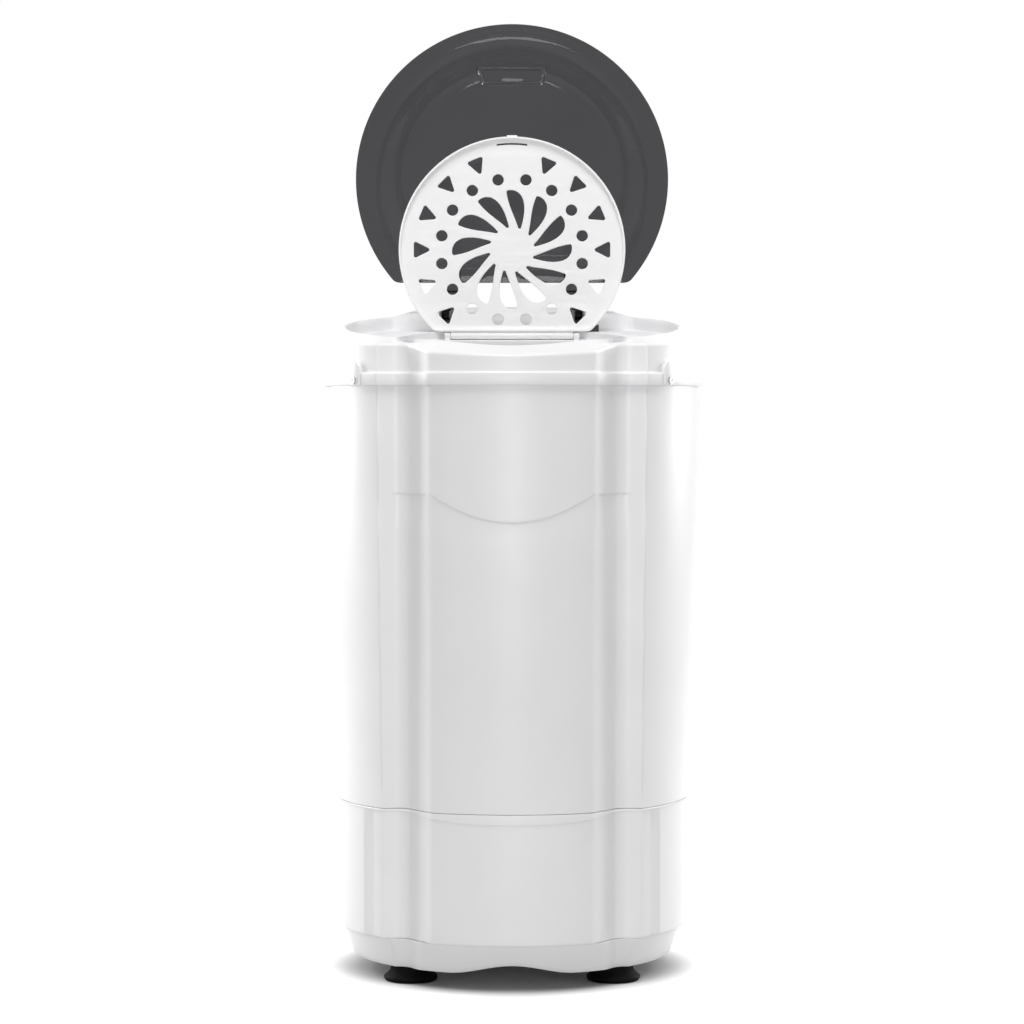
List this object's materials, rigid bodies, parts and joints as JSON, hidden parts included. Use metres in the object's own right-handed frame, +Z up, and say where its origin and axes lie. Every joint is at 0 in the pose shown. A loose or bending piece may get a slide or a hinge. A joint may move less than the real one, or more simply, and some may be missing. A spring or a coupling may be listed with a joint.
{
  "type": "laundry spin dryer",
  "caption": "Free-standing laundry spin dryer: fluted tapered cabinet, slanted top with smoked lid and pierced inner cover, spin basket, motor and lid brake.",
  "frame": {"origin": "on the floor under the drum's axis, at the bottom centre of the whole dryer's box", "axes": "+Z up along the drum's axis; -Y is the front, where the slanted top is low; +X is to the right of a viewer who faces the front; both covers stand open"},
  "size_m": [0.3872, 0.3872, 0.98],
  "materials": {
    "white_shell": "moulded white polypropylene, soft gloss",
    "white_cover": "moulded white polypropylene, smooth",
    "smoked_lid": "smoked translucent plastic, glossy",
    "tub_plastic": "moulded polypropylene",
    "black_rubber": "matt black rubber",
    "black_plastic": "moulded black plastic",
    "basket_steel": "brushed stainless sheet",
    "ring_plastic": "moulded plastic",
    "cast_aluminium": "cast, as cast",
    "winding": "laminated core with varnished copper windings",
    "capacitor_can": "plain plastic can",
    "brake_lining": "brake lining",
    "zinc_steel": "zinc plated steel"
  },
  "bodies": {
    "cabinet": {"base_shell": "white_shell", "cabinet_shell": "white_shell", "top_panel": "white_shell", "loading_deck_left": "white_shell", "loading_deck_right": "white_shell", "outer_tub": "tub_plastic", "tub_seal": "black_rubber", "drain_hose": "black_rubber", "drain_outlet": "black_plastic", "foot_front_left": "black_rubber", "foot_front_right": "black_rubber", "foot_rear_left": "black_rubber", "foot_rear_right": "black_rubber", "foot_screws": "zinc_steel", "seam_screws": "zinc_steel", "panel_screws": "zinc_steel", "motor_plate": "zinc_steel", "mount_front": "black_rubber", "mount_rear_left": "black_rubber", "mount_rear_right": "black_rubber", "mount_bolts": "zinc_steel", "motor_housing": "cast_aluminium", "motor_cover": "cast_aluminium", "stator": "winding", "lower_bearing": "zinc_steel", "upper_bearing": "zinc_steel", "capacitor": "capacitor_can", "capacitor_clip": "zinc_steel", "cord_gland": "black_plastic", "switch_body": "black_plastic", "brake_bracket": "zinc_steel", "brake_pivot_pin": "zinc_steel", "brake_spring": "zinc_steel", "lid_hinge_pins": "zinc_steel", "cover_hinge_pins": "zinc_steel"},
    "lid_body": {"lid": "smoked_lid"},
    "cover_body": {"inner_cover": "white_cover"},
    "basket_body": {"basket": "basket_steel", "basket_ring_left": "ring_plastic", "basket_ring_right": "ring_plastic", "basket_hub": "cast_aluminium", "hub_nut": "zinc_steel", "drive_shaft": "zinc_steel", "rotor": "zinc_steel", "brake_drum": "cast_aluminium"},
    "brake_rod_body": {"brake_rod": "zinc_steel"},
    "brake_arm_body": {"brake_arm": "zinc_steel", "brake_pad": "brake_lining"},
    "plunger_body": {"switch_plunger": "black_plastic"}
  },
  "joints": [
    {"name": "lid_hinge", "type": "hinge", "parent": "cabinet", "child": "lid_body", "pos_m": [0, 0.152, 0.66193], "axis": [1, 0, 0], "range_deg": [0, 100]},
    {"name": "cover_hinge", "type": "hinge", "parent": "cabinet", "child": "cover_body", "pos_m": [0, 0.09218, 0.64559], "axis": [1, 0, 0], "range_deg": [0, 100]},
    {"name": "basket_spin", "type": "hinge", "parent": "cabinet", "child": "basket_body", "pos_m": [0, 0, 0.3], "axis": [0, 0, 1], "continuous": true},
    {"name": "brake_rod_slide", "type": "slide", "parent": "cabinet", "child": "brake_rod_body", "axis": [0, 0, -1], "range_m": [0, 0.0068], "deforming": ["brake_spring"]},
    {"name": "brake_arm_swing", "type": "hinge", "parent": "cabinet", "child": "brake_arm_body", "pos_m": [0.04176, 0.09152, 0.15], "axis": [-0.9098, 0.4151, 0], "range_deg": [0, 7.2]},
    {"name": "switch_plunger_slide", "type": "slide", "parent": "cabinet", "child": "plunger_body", "axis": [0, 0.1045, -0.9945], "range_m": [0, 0.0068]}
  ],
  "couplings": [
    {"joint": "cover_hinge", "follows": "lid_hinge", "ratio": 1},
    {"joint": "brake_rod_slide", "follows": "lid_hinge", "m_per_rad": 0.003896},
    {"joint": "brake_arm_swing", "follows": "lid_hinge", "ratio": 0.071},
    {"joint": "switch_plunger_slide", "follows": "lid_hinge", "m_per_rad": 0.003896}
  ]
}
